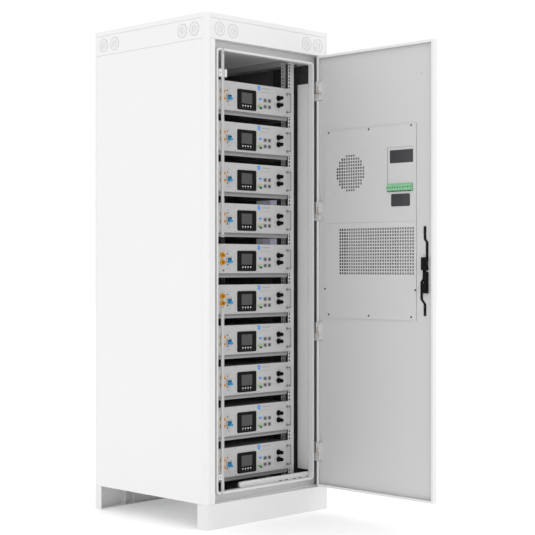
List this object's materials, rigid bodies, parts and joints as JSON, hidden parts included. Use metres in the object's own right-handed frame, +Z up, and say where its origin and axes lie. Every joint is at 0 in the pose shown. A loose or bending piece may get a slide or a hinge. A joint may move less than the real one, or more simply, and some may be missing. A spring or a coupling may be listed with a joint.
{
  "type": "server rack battery",
  "caption": "Outdoor battery cabinet: rack batteries on shelves behind one hinged door with a built-in cooling unit and a rod lock.",
  "frame": {"origin": "on the front plinth's foot, on the floor, in line with the rack's middle, 20 mm behind the front face", "axes": "+X to the right seen from the front, +Y from the front to the rear, +Z up; the door is open at rest"},
  "size_m": [0.825, 1.423, 2.18],
  "materials": {
    "white_paint": "satin",
    "grey_paint": "satin",
    "battery_paint": "satin",
    "zinc_steel": "satin",
    "black_metal": "satin",
    "black_plastic": "matte",
    "grey_plastic": "matte",
    "white_plastic": "matte",
    "lilac_plastic": "matte",
    "blue_plastic": "gloss",
    "orange_plastic": "matte",
    "dark_orange_plastic": "matte",
    "green_plastic": "matte",
    "screen": "gloss",
    "dark_screen": "gloss",
    "foam": "matte",
    "seal": "matte",
    "brass_pin": "satin",
    "screw_steel": "satin",
    "led": "gloss"
  },
  "bodies": {
    "root": {"post_front_left": "white_paint", "post_front_right": "white_paint", "post_rear_left": "white_paint", "post_rear_right": "white_paint", "fascia_front": "white_paint", "fascia_rear": "white_paint", "fascia_left": "white_paint", "fascia_right": "white_paint", "side_panel_left": "white_paint", "side_panel_right": "white_paint", "rear_panel": "white_paint", "roof_cover": "white_paint", "front_frame": "white_paint", "plinth_front": "white_paint", "plinth_rear": "white_paint", "floor_plate": "zinc_steel", "rack_side_right": "zinc_steel", "rack_side_left": "zinc_steel", "cable_duct_vertical": "grey_paint", "cable_duct_bottom": "grey_paint", "junction_box": "lilac_plastic"},
    "door": {"door_pan": "white_paint", "door_liner": "grey_paint", "hinge_leaf_1": "zinc_steel", "hinge_leaf_2": "zinc_steel", "hinge_leaf_3": "zinc_steel", "hinge_leaf_4": "zinc_steel", "cooler_housing": "white_paint", "cooler_cover_upper": "grey_paint", "cooler_cover_lower": "grey_paint", "lock_case": "black_metal", "handle_base": "black_metal"},
    "handle": {"swing_handle": "black_metal"},
    "lock_arm_up": {"lock_arm_upper": "black_metal"},
    "lock_arm_down": {"lock_arm_lower": "black_metal"},
    "rod_up": {"lock_rod_upper": "zinc_steel"},
    "rod_down": {"lock_rod_lower": "zinc_steel"},
    "fan_inner": {"evaporator_fan": "black_plastic"},
    "fan_outer": {"condenser_fan": "black_plastic"},
    "battery_body_01": {"battery_01": "battery_paint"},
    "breaker_body_01": {"breaker_lever_01": "blue_plastic"},
    "battery_body_02": {"battery_02": "battery_paint"},
    "breaker_body_02": {"breaker_lever_02": "blue_plastic"},
    "battery_body_03": {"battery_03": "battery_paint"},
    "breaker_body_03": {"breaker_lever_03": "blue_plastic"},
    "battery_body_04": {"battery_04": "battery_paint"},
    "breaker_body_04": {"breaker_lever_04": "blue_plastic"},
    "battery_body_05": {"battery_05": "battery_paint"},
    "breaker_body_05": {"breaker_lever_05": "blue_plastic"},
    "battery_body_06": {"battery_06": "battery_paint"},
    "breaker_body_06": {"breaker_lever_06": "blue_plastic"},
    "battery_body_07": {"battery_07": "battery_paint"},
    "breaker_body_07": {"breaker_lever_07": "blue_plastic"},
    "battery_body_08": {"battery_08": "battery_paint"},
    "breaker_body_08": {"breaker_lever_08": "blue_plastic"},
    "battery_body_09": {"battery_09": "battery_paint"},
    "breaker_body_09": {"breaker_lever_09": "blue_plastic"},
    "battery_body_10": {"battery_10": "battery_paint"},
    "breaker_body_10": {"breaker_lever_10": "blue_plastic"}
  },
  "joints": [
    {"name": "door_hinge", "type": "hinge", "parent": "root", "child": "door", "pos_m": [0.337, -0.017, 0], "axis": [0, 0, 1], "range_deg": [-90, 20]},
    {"name": "handle_turn", "type": "hinge", "parent": "door", "child": "handle", "pos_m": [0.34, -0.624, 1.118], "axis": [1, 0, 0], "range_deg": [0, 90]},
    {"name": "lock_arm_up_slide", "type": "slide", "parent": "door", "child": "lock_arm_up", "axis": [0, 0, 1], "range_m": [-0.0181, 0]},
    {"name": "lock_arm_down_slide", "type": "slide", "parent": "door", "child": "lock_arm_down", "axis": [0, 0, 1], "range_m": [0, 0.0181]},
    {"name": "rod_up_slide", "type": "slide", "parent": "root", "child": "rod_up", "axis": [0, 0, 1], "range_m": [-0.0181, 0]},
    {"name": "rod_down_slide", "type": "slide", "parent": "root", "child": "rod_down", "axis": [0, 0, 1], "range_m": [0, 0.0181]},
    {"name": "fan_inner_spin", "type": "hinge", "parent": "door", "child": "fan_inner", "pos_m": [0.3725, -0.206, 1.527], "axis": [1, 0, 0], "continuous": true},
    {"name": "fan_outer_spin", "type": "hinge", "parent": "door", "child": "fan_outer", "pos_m": [0.405, -0.295, 1.13], "axis": [1, 0, 0], "continuous": true},
    {"name": "battery_slide_01", "type": "slide", "parent": "root", "child": "battery_body_01", "axis": [0, -1, 0], "range_m": [0, 0.4]},
    {"name": "breaker_throw_01", "type": "hinge", "parent": "battery_body_01", "child": "breaker_body_01", "pos_m": [-0.152, 0.082, 1.8487], "axis": [1, 0, 0], "range_deg": [-44, 0]},
    {"name": "battery_slide_02", "type": "slide", "parent": "root", "child": "battery_body_02", "axis": [0, -1, 0], "range_m": [0, 0.4]},
    {"name": "breaker_throw_02", "type": "hinge", "parent": "battery_body_02", "child": "breaker_body_02", "pos_m": [-0.152, 0.082, 1.6709], "axis": [1, 0, 0], "range_deg": [-44, 0]},
    {"name": "battery_slide_03", "type": "slide", "parent": "root", "child": "battery_body_03", "axis": [0, -1, 0], "range_m": [0, 0.4]},
    {"name": "breaker_throw_03", "type": "hinge", "parent": "battery_body_03", "child": "breaker_body_03", "pos_m": [-0.152, 0.082, 1.4931], "axis": [1, 0, 0], "range_deg": [-44, 0]},
    {"name": "battery_slide_04", "type": "slide", "parent": "root", "child": "battery_body_04", "axis": [0, -1, 0], "range_m": [0, 0.4]},
    {"name": "breaker_throw_04", "type": "hinge", "parent": "battery_body_04", "child": "breaker_body_04", "pos_m": [-0.152, 0.082, 1.3153], "axis": [1, 0, 0], "range_deg": [-44, 0]},
    {"name": "battery_slide_05", "type": "slide", "parent": "root", "child": "battery_body_05", "axis": [0, -1, 0], "range_m": [0, 0.4]},
    {"name": "breaker_throw_05", "type": "hinge", "parent": "battery_body_05", "child": "breaker_body_05", "pos_m": [-0.152, 0.082, 1.1375], "axis": [1, 0, 0], "range_deg": [-44, 0]},
    {"name": "battery_slide_06", "type": "slide", "parent": "root", "child": "battery_body_06", "axis": [0, -1, 0], "range_m": [0, 0.4]},
    {"name": "breaker_throw_06", "type": "hinge", "parent": "battery_body_06", "child": "breaker_body_06", "pos_m": [-0.152, 0.082, 0.9597], "axis": [1, 0, 0], "range_deg": [-44, 0]},
    {"name": "battery_slide_07", "type": "slide", "parent": "root", "child": "battery_body_07", "axis": [0, -1, 0], "range_m": [0, 0.4]},
    {"name": "breaker_throw_07", "type": "hinge", "parent": "battery_body_07", "child": "breaker_body_07", "pos_m": [-0.152, 0.082, 0.7819], "axis": [1, 0, 0], "range_deg": [-44, 0]},
    {"name": "battery_slide_08", "type": "slide", "parent": "root", "child": "battery_body_08", "axis": [0, -1, 0], "range_m": [0, 0.4]},
    {"name": "breaker_throw_08", "type": "hinge", "parent": "battery_body_08", "child": "breaker_body_08", "pos_m": [-0.152, 0.082, 0.6041], "axis": [1, 0, 0], "range_deg": [-44, 0]},
    {"name": "battery_slide_09", "type": "slide", "parent": "root", "child": "battery_body_09", "axis": [0, -1, 0], "range_m": [0, 0.4]},
    {"name": "breaker_throw_09", "type": "hinge", "parent": "battery_body_09", "child": "breaker_body_09", "pos_m": [-0.152, 0.082, 0.4263], "axis": [1, 0, 0], "range_deg": [-44, 0]},
    {"name": "battery_slide_10", "type": "slide", "parent": "root", "child": "battery_body_10", "axis": [0, -1, 0], "range_m": [0, 0.4]},
    {"name": "breaker_throw_10", "type": "hinge", "parent": "battery_body_10", "child": "breaker_body_10", "pos_m": [-0.152, 0.082, 0.2485], "axis": [1, 0, 0], "range_deg": [-44, 0]}
  ],
  "couplings": [
    {"joint": "lock_arm_up_slide", "follows": "handle_turn", "m_per_rad": -0.011459},
    {"joint": "lock_arm_down_slide", "follows": "handle_turn", "m_per_rad": 0.011459},
    {"joint": "rod_up_slide", "follows": "handle_turn", "m_per_rad": -0.011459},
    {"joint": "rod_down_slide", "follows": "handle_turn", "m_per_rad": 0.011459}
  ]
}
